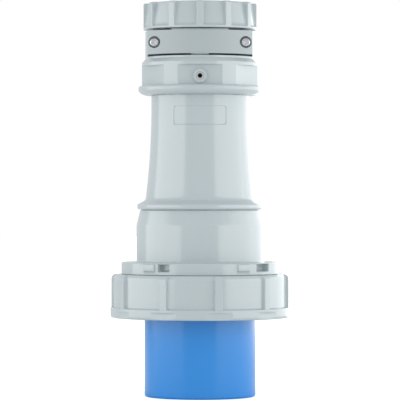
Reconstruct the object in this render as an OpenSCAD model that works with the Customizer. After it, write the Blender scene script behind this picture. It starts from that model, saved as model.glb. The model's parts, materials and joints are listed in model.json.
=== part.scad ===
// Industrial pin and sleeve plug with a bayonet ring and a cable gland.
// It stands on the mouth of its sleeve. +Z runs along the plug to the cable gland,
// and -Y is the front, where the clamp screws and the label recess are.
// An angle called a turn is measured about +Z from the front towards +X.

/* [Contacts] */
// Diameter of the line and neutral pins
power_pin_d = 8; // [6:0.5:9]
// Diameter of the earth pin
earth_pin_d = 10; // [8:0.5:11]
// Diameter of the pilot pin
pilot_pin_d = 6; // [4:0.5:7]
// Radius of the circle on which the power and earth pins stand
pin_circle_r = 20; // [18.5:0.5:21]
// Length of the line and neutral pins below the sleeve's floor
power_pin_len = 50; // [40:1:54]
// Length of the earth pin, which meets its contact first
earth_pin_len = 54; // [44:1:57]
// Length of the pilot pin, which meets its contact last
pilot_pin_len = 34; // [24:1:44]
// Diameter of the terminal barrels of the line, neutral and earth pins
terminal_d = 12; // [11:0.5:13]
// Diameter of the wire bore in those barrels
wire_bore_d = 7; // [5:0.5:8]
// Diameter of the pilot pin's terminal barrel
pilot_terminal_d = 8; // [7:0.5:9]
// Diameter of the wire bore in the pilot pin's barrel
pilot_wire_bore_d = 3.5; // [2.5:0.5:4]
// Height of the terminal barrels above the contact carrier
terminal_h = 18; // [14:1:21]
// Diameter of the terminal screws
terminal_screw_d = 5; // [3:0.5:5.5]

/* [Sleeve] */
// Outer diameter of the sleeve
sleeve_d = 71; // [68:0.5:75]
// Wall thickness of the sleeve
sleeve_wall = 3.2; // [2.4:0.2:4]
// Depth of the sleeve from its mouth to its floor
sleeve_depth = 58; // [55:0.5:62]
// Thickness of the sleeve's floor
floor_t = 6; // [5:0.5:8]
// Length of the sleeve that shows below the bayonet ring
sleeve_show = 50.5; // [42:0.5:53]
// Width of the polarising key along the back of the sleeve
key_w = 8.5; // [6:0.5:12]
// Height of the polarising key above the sleeve
key_h = 3.5; // [2:0.5:5]

/* [Contact carrier] */
// Height of the contact carrier
carrier_h = 16; // [12:0.5:18]
// Height of the barriers between the terminals
barrier_h = 12; // [6:1:16]
// Thickness of those barriers
barrier_t = 2; // [1.5:0.5:3]
// Diameter of the two screws that hold the carrier and the sleeve
carrier_screw_d = 4; // [3:0.5:5]

/* [Bayonet ring] */
// Height of the ring
ring_h = 27.8; // [25:0.2:32]
// Width of the gap between the sleeve and the ring's inner wall
mating_gap = 15.3; // [13.5:0.1:18]
// Wall thickness of the ring behind its recessed panels
ring_wall = 4.3; // [3.5:0.1:6]
// Depth of the panels between the grip ribs
panel_depth = 1.9; // [1:0.1:3]
// Height of the plain lip at the ring's mouth
lip_h = 6.2; // [5.2:0.2:9]
// Number of grip ribs
rib_count = 10; // [6:1:14]
// Width of a grip rib
rib_w = 4.8; // [3:0.2:8]
// Turn of the first rib from the front
rib_turn = 12; // [0:1:36]
// Thickness of the web that carries the ring on the housing
web_t = 4; // [3:0.2:5]
// Reach of the bayonet ramps from the ring's inner wall
ramp_reach = 4.2; // [2.5:0.1:6]
// Thickness of the bayonet ramps
ramp_t = 4; // [3:0.2:5]
// Tilt of the bayonet ramps
ramp_tilt = 4; // [2:0.5:5]

/* [Front housing] */
// Wall of the housing's spigot around the sleeve, which carries the ring
spigot_wall = 7.2; // [6:0.1:9]
// Reach of the flange beyond the spigot
flange_reach = 7.6; // [6:0.1:9]
// Height of the flange
flange_h = 7.6; // [7:0.2:10]
// Diameter of the barrel behind the flange
barrel_d = 81.2; // [79:0.2:86]
// Height of the barrel
barrel_h = 23.3; // [20:0.1:30]
// Diameter at the top of the barrel's tapered shoulder
shoulder_d = 76.6; // [72:0.2:78.6]
// Height of that shoulder
shoulder_h = 10.3; // [8:0.1:14]
// Wall thickness of the housing
housing_wall = 3; // [2.2:0.1:3.6]
// Number of raised blocks around the flange
block_count = 5; // [3:1:6]
// Width of a raised block
block_w = 8.8; // [5:0.2:12]
// Turn of the first raised block from the front
block_turn = 32.8; // [20:0.1:45]
// Width of the two narrow latch windows in the flange
window_w = 7.8; // [4:0.2:9]
// Width of the two wide latch windows in the flange
wide_window_w = 12.4; // [9:0.2:14]
// Height of the raised blocks and of the latch windows
block_h = 4.4; // [3:0.2:5]

/* [Handle] */
// Height of the handle between the housing and the gland
handle_h = 72.8; // [60:0.2:100]
// Diameter of the foot bead
foot_d = 80.2; // [77:0.2:84]
// Height of the foot bead and the fillet above it
foot_h = 6.2; // [5:0.2:9]
// Diameter of the handle just above its foot
handle_low_d = 69.6; // [66:0.2:74]
// Diameter of the handle at its top
handle_top_d = 62.2; // [60:0.2:65]
// Wall thickness at the top of the handle
handle_wall = 2.9; // [2.2:0.1:3.4]
// Length of the joint between the handle and the housing
joint_h = 20; // [14:1:26]
// Width of the label recess
label_w = 33.3; // [20:0.1:40]
// Height of the label recess
label_h = 11.8; // [6:0.1:16]
// Depth of the label recess
label_depth = 0.4; // [0.2:0.05:0.8]
// Height of the label recess's centre above the handle's foot
label_z = 59.5; // [45:0.5:62]

/* [Gland body] */
// Diameter of the collar that rests on the handle
collar_d = 78.8; // [76:0.2:84]
// Height of that collar
collar_h = 5.9; // [5:0.1:8]
// Diameter across the round corners of the spanner zone
corner_d = 74.4; // [72:0.2:77]
// Distance across the spanner flats
flats_w = 68.8; // [67:0.2:71]
// Height of the spanner zone
spanner_h = 14.7; // [12:0.1:20]
// Diameter of the neck
neck_d = 70; // [68:0.2:72]
// Height of the neck
neck_h = 17.6; // [16:0.1:22]
// Diameter of the spigot that carries the nut
nut_spigot_d = 60; // [58:0.2:62]
// Length of that spigot
nut_spigot_h = 13.2; // [11:0.1:13.6]
// Diameter of the lock screw on the front flat
lock_screw_d = 5; // [3:0.5:6]
// Diameter of the boss around the lock screw
lock_boss_d = 8.6; // [7.6:0.2:11]

/* [Cable clamp] */
// Diameter of the cable way through the clamp
clamp_way_d = 48; // [40:0.5:50]
// Distance from the neck's side to the axis of a clamp screw
clamp_inset = 6.1; // [5.6:0.1:6.6]
// Distance from the axis of a clamp screw to the saddle's end
saddle_edge = 4.2; // [4.1:0.1:4.6]
// Height of the clamp saddle
saddle_h = 14.9; // [11:0.1:15.2]
// Radius of the saddle's curved face
saddle_face_r = 45; // [40:1:60]
// Distance from the axis to the back of the saddle
saddle_back = 10.8; // [8:0.1:12]
// Way that the saddle travels to grip a cable
clamp_travel = 4.9; // [2:0.1:5]
// Diameter of the clamp screws
clamp_screw_d = 3.5; // [3:0.5:4]
// Diameter of the clamp screws' heads
clamp_head_d = 5.6; // [5:0.2:7]
// Diameter of the pockets that hold those heads
head_pocket_d = 7.6; // [7:0.2:8]
// Length of a clamp screw's shank
clamp_screw_len = 32; // [30:0.5:36]

/* [Gland nut] */
// Diameter of the nut over its ribs
nut_d = 72.4; // [70:0.2:78]
// Height of the nut
nut_h = 17; // [15.8:0.1:20]
// Number of ribs on the nut
nut_rib_count = 12; // [8:1:16]
// Width of a rib on the nut
nut_rib_w = 4.4; // [2.5:0.1:6]
// Depth of the flutes at the nut's top
flute_top_depth = 3.2; // [1:0.1:3.6]
// Depth of the flutes at the nut's rim
flute_low_depth = 1.2; // [0.6:0.1:2]
// Diameter of the nut's cable hole
nut_hole_d = 40; // [34:0.5:44]
// Bore of the cable seal
seal_bore_d = 24; // [16:0.5:30]

/* [Hidden] */
$fn = 96;

// Overshoot of cuts, and clearances
over = 1;
turn_gap = 0.1;
fit_gap = 0.2;
seat_gap = 0.3;
screw_gap = 0.05;

// Colours
grey = [0.80, 0.84, 0.86];
blue = [0.20, 0.52, 0.86];
black = [0.13, 0.13, 0.14];
brass = [0.80, 0.65, 0.32];
steel = [0.66, 0.67, 0.69];
nickel = [0.78, 0.76, 0.70];

// Sleeve, carrier and pins
sleeve_r = sleeve_d / 2;
sleeve_in_r = sleeve_r - sleeve_wall;
floor_z1 = sleeve_depth + floor_t;
rim_h = 12;
sleeve_rim_z = floor_z1 + rim_h;
mouth_out_round = 1.6;
mouth_in_round = 0.6;
key_z0 = 3;
carrier_r = sleeve_in_r - seat_gap;
carrier_z1 = floor_z1 + carrier_h;
collar_t = 3;
collar_step = 1.5;
root_step = 0.8;
line_turn = -60;
neutral_turn = 60;
earth_turn = 180;
barrier_turns = [0, 120, 240];
carrier_screw_inset = 5.3;
carrier_screw_r = sleeve_in_r - carrier_screw_inset;
screw_head_t = 2.8;
screw_head_r = carrier_screw_d / 2 + 1.6;
terminal_screw_z = carrier_z1 + 0.6 * terminal_h;

// Bayonet ring and the housing's spigot
ring_z0 = sleeve_show;
ring_z1 = ring_z0 + ring_h;
ring_in_r = sleeve_r + mating_gap;
panel_r = ring_in_r + ring_wall;
rib_r = panel_r + panel_depth;
lip_r = rib_r + 0.3;
web_z0 = ring_z1 - web_t;
spigot_r = sleeve_r + spigot_wall;
spigot_drop = 8.3;
spigot_z0 = web_z0 - spigot_drop;
sleeve_bore_r = sleeve_r + seat_gap;
retainer_t = 2;
retainer_play = 0.4;
retainer_z1 = web_z0 - retainer_play;
retainer_z0 = retainer_z1 - retainer_t;
retainer_reach = 4;
retainer_r = spigot_r + retainer_reach;
retainer_split = 14;
groove_depth = 1.4;
groove_r = spigot_r - groove_depth;
gasket_t = 3.4;
gasket_z0 = spigot_z0 - gasket_t;
key_z1 = gasket_z0 - seat_gap;
ramp_arc = 70;
ramp_rise = 7.5;
ramp_z = ring_z0 + ramp_rise;
finger_flat_arc = 17.8;
finger_flat_h = 4.6;

// Front housing
flange_z0 = ring_z1 + turn_gap;
flange_z1 = flange_z0 + flange_h;
flange_r = spigot_r + flange_reach;
barrel_r = barrel_d / 2;
barrel_in_r = barrel_r - housing_wall;
barrel_z1 = flange_z1 + barrel_h;
shoulder_r = shoulder_d / 2;
shoulder_z1 = barrel_z1 + shoulder_h;
block_z = flange_z0 + 0.6 * flange_h;
block_out = 1.3;
window_depth = 3;
window_turns = [-27, 153];
wide_window_turns = [52, 232];
lug_w = 9;
lug_h = 12;
lug_inset = 4.7;
foot_groove = 0.6;

// Handle
handle_z0 = shoulder_z1;
handle_z1 = handle_z0 + handle_h;
foot_r = foot_d / 2;
handle_low_r = handle_low_d / 2;
handle_top_r = handle_top_d / 2;
handle_in_r = handle_top_r - handle_wall;
top_straight_h = 7;
flare_h = handle_h - foot_h - top_straight_h;
joint_r = handle_top_r - 0.5;
joint_wall = 4;
joint_in_r = joint_r - joint_wall;
joint_z1 = handle_z0 + joint_h;
top_spigot_r = handle_in_r - fit_gap;
top_spigot_wall = 4.5;
top_spigot_in_r = top_spigot_r - top_spigot_wall;
top_spigot_h = 15.9;
cord_r = 1.05;
groove_w = 2.8;
joint_groove_z0 = joint_z1 - 8;
top_groove_z0 = handle_z1 + 3;

// Gland body
collar_r = collar_d / 2;
collar_round_w = 6;
collar_round_h = 3.8;
collar_top_round = 1.4;
collar_z1 = handle_z1 + collar_h;
corner_r = corner_d / 2;
spanner_z1 = collar_z1 + spanner_h;
ledge_h = 2;
neck_r = neck_d / 2;
neck_z0 = spanner_z1 + 2.4;
neck_z1 = neck_z0 + neck_h;
gland_bore_r = top_spigot_r + fit_gap;
gland_bore_z1 = handle_z1 + top_spigot_h + seat_gap;
clamp_way_r = clamp_way_d / 2;
seal_way_r = clamp_way_r - 2;
nut_spigot_r = nut_spigot_d / 2;
nut_spigot_z1 = neck_z1 + nut_spigot_h;
pocket_wall = 3.8;
seal_pocket_r = nut_spigot_r - pocket_wall;
lock_z = collar_z1 + 0.37 * spanner_h;
lock_boss_out = 1.5;

// Cable clamp
clamp_screw_span = neck_d - 2 * clamp_inset;
saddle_w = clamp_screw_span + 2 * saddle_edge;
slot_margin = 1.2;
slot_w = saddle_w + 2 * fit_gap;
slot_z1 = neck_z1 + 1;
saddle_z1 = slot_z1 - slot_margin;
saddle_z0 = saddle_z1 - saddle_h;
slot_z0 = saddle_z0 - slot_margin;
slot_y = -saddle_back + clamp_travel + seat_gap;
clamp_z = (saddle_z0 + saddle_z1) / 2;
tongue_w = 36;
low_tongue_w = 11;
tongue_h = 0.8;
recess_w = 1.1;
head_seat_y = -19.5;
clamp_head_t = 2.6;
clamp_nut_w = 6;
clamp_nut_t = 2.8;
clamp_nut_y = 8.5;
grip_h = 1.4;
grip_out = 1.2;

// Seal, washer and nut
seat_t = 2.5;
seat_z = slot_z1 + seat_t;
nut_r = nut_d / 2;
nut_z0 = neck_z1 + 1.2;
nut_z1 = nut_z0 + nut_h;
nut_top_t = 3;
nut_rim_h = 2;
nut_hole_r = nut_hole_d / 2;
washer_t = 2.7;
washer_gap = 0.5;
washer_lip = 1.5;
washer_z1 = nut_z1 - nut_top_t - turn_gap;
washer_z0 = washer_z1 - washer_t;
seal_z1 = washer_z0 - 0.7;

// Point at radius r and at a turn from the front
function at(r, turn) = [r * sin(turn), -r * cos(turn)];

// Points of an oval's arc about c, rx wide and ry high, from angle a0 to a1
function oval(c, rx, ry, a0, a1, n = 6) = [
    for (i = [0 : n]) let (a = a0 + (a1 - a0) * i / n) [c[0] + rx * cos(a), c[1] + ry * sin(a)]
];

// Points of a round arc about c
function arc(c, r, a0, a1, n = 6) = oval(c, r, r, a0, a1, n);

// Points of the handle's hollow flare: a circle that meets the straight top part smoothly
function flare(z0, r0, r1, h, n = 12) =
    let (rise = r0 - r1, big_r = (h * h + rise * rise) / (2 * rise))
    [for (i = [0 : n]) let (s = h * (1 - i / n)) [r1 + big_r - sqrt(big_r * big_r - s * s), z0 + h - s]];

// Round tube between two heights
module tube(r_out, r_in, z0, z1) {
    translate([0, 0, z0])
        difference() {
            cylinder(r = r_out, h = z1 - z0);
            translate([0, 0, -over])
                cylinder(r = r_in, h = z1 - z0 + 2 * over);
        }
}

// Cylinder for a cut between two heights
module bore(r, z0, z1) {
    translate([0, 0, z0])
        cylinder(r = r, h = z1 - z0);
}

// Prism that covers an arc of the given width about a turn
module wedge(turn, width, r, z0, z1) {
    reach = r / cos(width / 2);
    translate([0, 0, z0])
        linear_extrude(z1 - z0)
            polygon([[0, 0], at(reach, turn - width / 2), at(reach, turn + width / 2)]);
}

// Bar that stands radially at a turn, from r0 to r1
module bar(turn, width, r0, r1, z0, z1) {
    rotate([0, 0, turn])
        translate([-width / 2, -r1, z0])
            cube([width, r1 - r0, z1 - z0]);
}

// Cylinder along the front-to-back axis, from y0 to y1
module cross_pin(x, z, r, y0, y1, fn = $fn) {
    translate([x, y0, z])
        rotate([-90, 0, 0])
            cylinder(r = r, h = y1 - y0, $fn = fn);
}

// O-ring of round cord
module oring(r, z) {
    color(black)
        translate([0, 0, z])
            rotate_extrude()
                translate([r, 0])
                    circle(r = cord_r, $fn = 32);
}

// Blue sleeve with its floor, the pin holes and the key on its back
module pin_sleeve() {
    color(blue)
        difference() {
            union() {
                rotate_extrude()
                    polygon(concat(
                        arc([sleeve_in_r + mouth_in_round, mouth_in_round], mouth_in_round, 180, 270, 4),
                        arc([sleeve_r - mouth_out_round, mouth_out_round], mouth_out_round, 270, 360),
                        [[sleeve_r, sleeve_rim_z], [sleeve_in_r, sleeve_rim_z]]
                    ));
                bore(sleeve_in_r + sleeve_wall / 2, sleeve_depth, floor_z1);
                bar(earth_turn, key_w, sleeve_in_r + sleeve_wall / 2, sleeve_r + key_h, key_z0, key_z1);
            }
            for (turn = [line_turn, neutral_turn])
                translate(at(pin_circle_r, turn))
                    root_hole(power_pin_d);
            translate(at(pin_circle_r, earth_turn))
                root_hole(earth_pin_d);
            root_hole(pilot_pin_d);
            for (turn = [-90, 90])
                translate(at(carrier_screw_r, turn)) {
                    bore(carrier_screw_d / 2 + fit_gap, sleeve_depth - over, floor_z1 + over);
                    bore(screw_head_r + fit_gap, sleeve_depth - over, sleeve_depth + screw_head_t + fit_gap);
                }
        }
}

// Hole in the sleeve's floor for the thicker root of a pin
module root_hole(pin_d) {
    bore(pin_d / 2 + root_step + turn_gap, sleeve_depth - over, floor_z1 + over);
}

// Pocket in the carrier for one pin: the collar's seat and the barrel's way through
module pin_pocket(barrel_d) {
    bore(barrel_d / 2 + collar_step + fit_gap, floor_z1 - over, floor_z1 + collar_t + turn_gap);
    bore(barrel_d / 2 + fit_gap, floor_z1, carrier_z1 + over);
}

// Insulating carrier that traps the pins' collars on the sleeve's floor
module contact_carrier() {
    color(black)
        difference() {
            union() {
                bore(carrier_r, floor_z1, carrier_z1);
                for (turn = barrier_turns)
                    bar(turn, barrier_t, pilot_terminal_d / 2 + 1, carrier_r - 2, floor_z1 + collar_t,
                        carrier_z1 + barrier_h);
            }
            for (turn = [line_turn, neutral_turn, earth_turn])
                translate(at(pin_circle_r, turn))
                    pin_pocket(terminal_d);
            pin_pocket(pilot_terminal_d);
            for (turn = [-90, 90])
                translate(at(carrier_screw_r, turn))
                    bore(carrier_screw_d / 2 + fit_gap, floor_z1 - over, carrier_z1 + over);
        }
}

// Contact pin with a rounded tip, a collar and a terminal barrel bored for the wire
module contact_pin(pin_d, length, barrel_d, wire_d, screw_d, screw_turn) {
    pin_r = pin_d / 2;
    tip_r = 0.45 * pin_r;
    tip_z = sleeve_depth - length;
    barrel_r = barrel_d / 2;
    barrel_z1 = carrier_z1 + terminal_h;
    color(brass)
        difference() {
            rotate_extrude()
                polygon(concat(
                    [[0, tip_z]],
                    arc([pin_r - tip_r, tip_z + tip_r], tip_r, 270, 360),
                    [
                        [pin_r, sleeve_depth],
                        [pin_r + root_step, sleeve_depth],
                        [pin_r + root_step, floor_z1],
                        [barrel_r + collar_step, floor_z1],
                        [barrel_r + collar_step, floor_z1 + collar_t],
                        [barrel_r, floor_z1 + collar_t],
                        [barrel_r, barrel_z1],
                        [0, barrel_z1]
                    ]
                ));
            bore(wire_d / 2, carrier_z1 - 2, barrel_z1 + over);
            rotate([0, 0, screw_turn])
                cross_pin(0, terminal_screw_z, screw_d / 2 + screw_gap, -barrel_r - over, 0);
        }
}

// Screw in the side of a terminal barrel, with a slotted head
module terminal_screw(barrel_d, wire_d, screw_d) {
    barrel_r = barrel_d / 2;
    head_r = screw_d / 2 + 0.8;
    head_t = 2.2;
    head_y = -barrel_r - head_t - turn_gap;
    color(steel)
        difference() {
            union() {
                cross_pin(0, terminal_screw_z, screw_d / 2, head_y, -wire_d / 2 + 0.6);
                cross_pin(0, terminal_screw_z, head_r, head_y, head_y + head_t);
            }
            translate([-0.5, head_y - over, terminal_screw_z - head_r - over])
                cube([1, 1 + over, 2 * (head_r + over)]);
        }
}

module pin_line() {
    translate(at(pin_circle_r, line_turn))
        contact_pin(power_pin_d, power_pin_len, terminal_d, wire_bore_d, terminal_screw_d, line_turn);
}

module pin_neutral() {
    translate(at(pin_circle_r, neutral_turn))
        contact_pin(power_pin_d, power_pin_len, terminal_d, wire_bore_d, terminal_screw_d, neutral_turn);
}

module pin_earth() {
    translate(at(pin_circle_r, earth_turn))
        contact_pin(earth_pin_d, earth_pin_len, terminal_d, wire_bore_d, terminal_screw_d, earth_turn);
}

module pin_pilot() {
    contact_pin(pilot_pin_d, pilot_pin_len, pilot_terminal_d, pilot_wire_bore_d,
        terminal_screw_d / 2, earth_turn);
}

module terminal_screw_line() {
    translate(at(pin_circle_r, line_turn))
        rotate([0, 0, line_turn])
            terminal_screw(terminal_d, wire_bore_d, terminal_screw_d);
}

module terminal_screw_neutral() {
    translate(at(pin_circle_r, neutral_turn))
        rotate([0, 0, neutral_turn])
            terminal_screw(terminal_d, wire_bore_d, terminal_screw_d);
}

module terminal_screw_earth() {
    translate(at(pin_circle_r, earth_turn))
        rotate([0, 0, earth_turn])
            terminal_screw(terminal_d, wire_bore_d, terminal_screw_d);
}

module terminal_screw_pilot() {
    rotate([0, 0, earth_turn])
        terminal_screw(pilot_terminal_d, pilot_wire_bore_d, terminal_screw_d / 2);
}

// Long screw from the sleeve's floor through the carrier into the housing's lug
module carrier_screw(turn) {
    head_z = sleeve_depth + fit_gap;
    seat = sleeve_depth + screw_head_t + fit_gap;
    cross_w = 0.9;
    color(steel)
        translate(at(carrier_screw_r, turn))
            difference() {
                union() {
                    bore(screw_head_r, head_z, seat);
                    bore(carrier_screw_d / 2, seat, carrier_z1 + lug_h - 2);
                }
                for (a = [0, 90])
                    rotate([0, 0, a])
                        translate([-screw_head_r * 0.6, -cross_w / 2, head_z - over])
                            cube([screw_head_r * 1.2, cross_w, over + 1.4]);
            }
}

module carrier_screw_left() {
    carrier_screw(-90);
}

module carrier_screw_right() {
    carrier_screw(90);
}

// Flat gasket that seals against the mating collar
module face_gasket() {
    color(black)
        tube(spigot_r - 0.4, sleeve_bore_r + fit_gap, gasket_z0, spigot_z0);
}

// One bayonet ramp: a tilted slab cut to a part of a ring
module ramp(turn) {
    intersection() {
        tube(ring_in_r + ring_wall / 2, ring_in_r - ramp_reach, ring_z0, web_z0);
        wedge(turn, ramp_arc, panel_r, ring_z0, web_z0);
        translate([0, 0, ramp_z])
            rotate([0, 0, turn])
                rotate([0, ramp_tilt, 0])
                    translate([-panel_r, -2 * panel_r, -ramp_t / 2])
                        cube([2 * panel_r, 2 * panel_r, ramp_t]);
    }
}

// Bayonet ring: a cup with grip ribs, a plain lip and two ramps inside
module bayonet_ring() {
    top_round = 3;
    panel_round = 1.8;
    lip_round = 1.6;
    lip_z1 = ring_z0 + lip_h;
    rib_arc = 2 * asin(rib_w / 2 / rib_r);
    color(grey)
        difference() {
            union() {
                rotate_extrude()
                    polygon(concat(
                        [[ring_in_r, ring_z0]],
                        arc([lip_r - lip_round, ring_z0 + lip_round], lip_round, 270, 360),
                        [[lip_r, lip_z1], [panel_r, lip_z1 + 0.8]],
                        arc([panel_r - panel_round, ring_z1 - panel_round], panel_round, 0, 90),
                        [
                            [spigot_r + turn_gap, ring_z1],
                            [spigot_r + turn_gap, web_z0],
                            [ring_in_r, web_z0]
                        ]
                    ));
                intersection() {
                    rotate_extrude()
                        polygon(concat(
                            [[ring_in_r + 1, ring_z0 + lip_round], [rib_r, ring_z0 + lip_round]],
                            arc([rib_r - top_round, ring_z1 - top_round], top_round, 0, 90),
                            [[ring_in_r + 1, ring_z1]]
                        ));
                    union() {
                        for (i = [0 : rib_count - 1])
                            wedge(rib_turn + i * 360 / rib_count, rib_arc, lip_r + 1, ring_z0, ring_z1 + over);
                    }
                }
                ramp(-90);
                ramp(90);
            }
            for (i = [0 : rib_count - 1])
                rotate([0, 0, rib_turn + i * 360 / rib_count])
                    translate([-rib_r, -lip_r * cos(finger_flat_arc / 2) - panel_r, ring_z0 - over])
                        cube([2 * rib_r, panel_r, finger_flat_h + over]);
        }
}

// Snap ring in the spigot's groove, which keeps the bayonet ring on
module ring_retainer() {
    color(steel)
        difference() {
            tube(retainer_r, groove_r + turn_gap, retainer_z0, retainer_z1);
            wedge(earth_turn, retainer_split, 2 * retainer_r, retainer_z0 - over, retainer_z1 + over);
        }
}

// Front housing: spigot, flange with blocks and windows, barrel, shoulder and handle spigot
module front_housing() {
    cone_z0 = barrel_z1 - 4;
    flange_round = 0.8;
    color(grey)
        difference() {
            union() {
                difference() {
                    rotate_extrude()
                        polygon(concat(
                            [
                                [sleeve_bore_r, spigot_z0],
                                [spigot_r, spigot_z0],
                                [spigot_r, retainer_z0],
                                [groove_r, retainer_z0],
                                [groove_r, retainer_z1 + turn_gap],
                                [spigot_r, retainer_z1 + turn_gap],
                                [spigot_r, flange_z0],
                                [flange_r, flange_z0]
                            ],
                            arc([flange_r - flange_round, flange_z1 - flange_round], flange_round, 0, 90, 4),
                            arc([barrel_r + 1, flange_z1 + 1], 1, 270, 180, 4),
                            [
                                [barrel_r, barrel_z1],
                                [shoulder_r, shoulder_z1 - foot_groove],
                                [shoulder_r - foot_groove, shoulder_z1 - foot_groove],
                                [shoulder_r - foot_groove, shoulder_z1],
                                [joint_r, shoulder_z1],
                                [joint_r, joint_z1 - 0.8],
                                [joint_r - 0.8, joint_z1],
                                [joint_in_r, joint_z1],
                                [joint_in_r, shoulder_z1 - 2],
                                [barrel_in_r, cone_z0],
                                [barrel_in_r, sleeve_rim_z + seat_gap],
                                [sleeve_bore_r, sleeve_rim_z + seat_gap]
                            ]
                        ));
                    tube(joint_r + over, joint_r - 2 * cord_r, joint_groove_z0, joint_groove_z0 + groove_w);
                    for (turn = window_turns)
                        latch_window(turn, window_w);
                    for (turn = wide_window_turns)
                        latch_window(turn, wide_window_w);
                }
                for (i = [0 : block_count - 1])
                    intersection() {
                        bar(block_turn + i * 360 / block_count, block_w, flange_r - 4, flange_r + 2 * block_out,
                            block_z - block_h / 2, block_z + block_h / 2);
                        bore(flange_r + block_out, flange_z0, flange_z1);
                    }
                for (turn = [-90, 90])
                    bar(turn, lug_w, carrier_screw_r - lug_inset, barrel_in_r + 1, carrier_z1, carrier_z1 + lug_h);
            }
            for (turn = [-90, 90])
                translate(at(carrier_screw_r, turn))
                    bore(carrier_screw_d / 2 + screw_gap, carrier_z1 - over, carrier_z1 + lug_h - 1.5);
        }
}

// Cut for one latch window, square to the flange
module latch_window(turn, width) {
    bar(turn, width, flange_r - window_depth, flange_r + over, block_z - block_h / 2, block_z + block_h / 2);
}

module handle_oring() {
    oring(joint_r + fit_gap - cord_r - screw_gap, joint_groove_z0 + groove_w / 2);
}

// Handle: foot bead, hollow flare, straight top with a label recess, and the gland's spigot
module handle() {
    bead_r = 1.8;
    neck_in_z = handle_z1 - 6;
    straight_z0 = handle_z0 + foot_h;
    color(grey)
        difference() {
            rotate_extrude()
                polygon(concat(
                    [[joint_r + fit_gap, handle_z0], [foot_r - 1, handle_z0]],
                    [[foot_r, handle_z0 + 1], [foot_r, handle_z0 + foot_h - 3.5]],
                    [[foot_r - bead_r, handle_z0 + foot_h - 2], [handle_low_r + 0.9, straight_z0 - 0.4]],
                    flare(straight_z0, handle_low_r, handle_top_r, flare_h),
                    [
                        [handle_top_r, handle_z1],
                        [top_spigot_r, handle_z1],
                        [top_spigot_r, handle_z1 + top_spigot_h - 0.8],
                        [top_spigot_r - 0.8, handle_z1 + top_spigot_h],
                        [top_spigot_in_r, handle_z1 + top_spigot_h],
                        [top_spigot_in_r, neck_in_z],
                        [handle_in_r, neck_in_z - 5],
                        [handle_in_r, joint_z1 + 4],
                        [joint_r + fit_gap, joint_z1 + seat_gap]
                    ]
                ));
            tube(top_spigot_r + over, top_spigot_r - 2 * cord_r, top_groove_z0, top_groove_z0 + groove_w);
            label_recess();
        }
}

// Shallow recess with round corners on the front of the handle
module label_recess() {
    corner = 1.5;
    intersection() {
        tube(handle_low_r, handle_top_r - label_depth, handle_z0, handle_z1);
        translate([0, 0, handle_z0 + label_z])
            rotate([90, 0, 0])
                linear_extrude(handle_low_r)
                    union() {
                        square([label_w - 2 * corner, label_h], center = true);
                        square([label_w, label_h - 2 * corner], center = true);
                        for (x = [-1, 1], y = [-1, 1])
                            translate([x * (label_w / 2 - corner), y * (label_h / 2 - corner)])
                                circle(r = corner, $fn = 32);
                    }
    }
}

module gland_oring() {
    oring(gland_bore_r - cord_r - screw_gap, top_groove_z0 + groove_w / 2);
}

// Ridges that bite on the cable, standing in from the clamp's way
module grips() {
    for (i = [-1 : 1])
        tube(clamp_way_r + over, clamp_way_r - grip_out, clamp_z + 4 * i - grip_h / 2, clamp_z + 4 * i + grip_h / 2);
}

// Gland body: collar, spanner flats, neck with the clamp's slot, and the nut's spigot
module gland_body() {
    flat_z1 = spanner_z1 - ledge_h;
    color(grey)
        difference() {
            union() {
                intersection() {
                    rotate_extrude()
                        polygon(concat(
                            [[0, handle_z1]],
                            oval([collar_r - collar_round_w, handle_z1 + collar_round_h], collar_round_w,
                                collar_round_h, 270, 360, 8),
                            arc([collar_r - collar_top_round, collar_z1 - collar_top_round], collar_top_round,
                                0, 90, 4),
                            [
                                [corner_r, collar_z1],
                                [corner_r, spanner_z1],
                                [neck_r, neck_z0],
                                [neck_r, neck_z1],
                                [0, neck_z1]
                            ]
                        ));
                    union() {
                        bore(collar_r + over, handle_z1 - over, collar_z1);
                        translate([0, 0, collar_z1 - over])
                            cylinder(r = flats_w / 2 / cos(30), h = flat_z1 - collar_z1 + 2 * over, $fn = 6);
                        bore(collar_r + over, flat_z1, neck_z1 + over);
                    }
                }
                bore(nut_spigot_r, neck_z1 - over, nut_spigot_z1);
                cross_pin(0, lock_z, lock_boss_d / 2, -flats_w / 2 - lock_boss_out, -gland_bore_r - 1);
            }
            bore(gland_bore_r, handle_z1 - over, gland_bore_z1);
            difference() {
                bore(clamp_way_r, gland_bore_z1 - over, slot_z1);
                grips();
            }
            bore(seal_way_r, slot_z1 - over, seat_z + over);
            bore(seal_pocket_r, seat_z, nut_spigot_z1 + over);
            translate([-slot_w / 2, slot_y - neck_d, slot_z0])
                cube([slot_w, neck_d, slot_z1 - slot_z0]);
            for (x = [-1, 1] * clamp_screw_span / 2) {
                cross_pin(x, clamp_z, clamp_screw_d / 2 + fit_gap, slot_y - over, neck_r);
                cross_pin(x, clamp_z, (clamp_nut_w / 2 + turn_gap) / cos(30), clamp_nut_y, neck_r, 6);
            }
            cross_pin(0, lock_z, lock_screw_d / 2 + screw_gap, -flats_w / 2 - lock_boss_out - over, 0);
        }
}

// Set screw with a hexagon socket that locks the gland body on the handle
module lock_screw() {
    face_y = -flats_w / 2 - lock_boss_out + 0.3;
    color(steel)
        difference() {
            cross_pin(0, lock_z, lock_screw_d / 2, face_y, -top_spigot_r - turn_gap);
            cross_pin(0, lock_z, lock_screw_d / 4 / cos(30), face_y - over, face_y + 3, 6);
        }
}

// Low tongue that half closes the gap above or below the saddle
module saddle_tongue(width, z0, z1) {
    setback = 1.2;
    intersection() {
        translate([0, -neck_r + saddle_face_r, 0])
            bore(saddle_face_r - setback, z0, z1);
        translate([-width / 2, -2 * neck_r, z0 - over])
            cube([width, 2 * neck_r - saddle_back, z1 - z0 + 2 * over]);
    }
}

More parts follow.
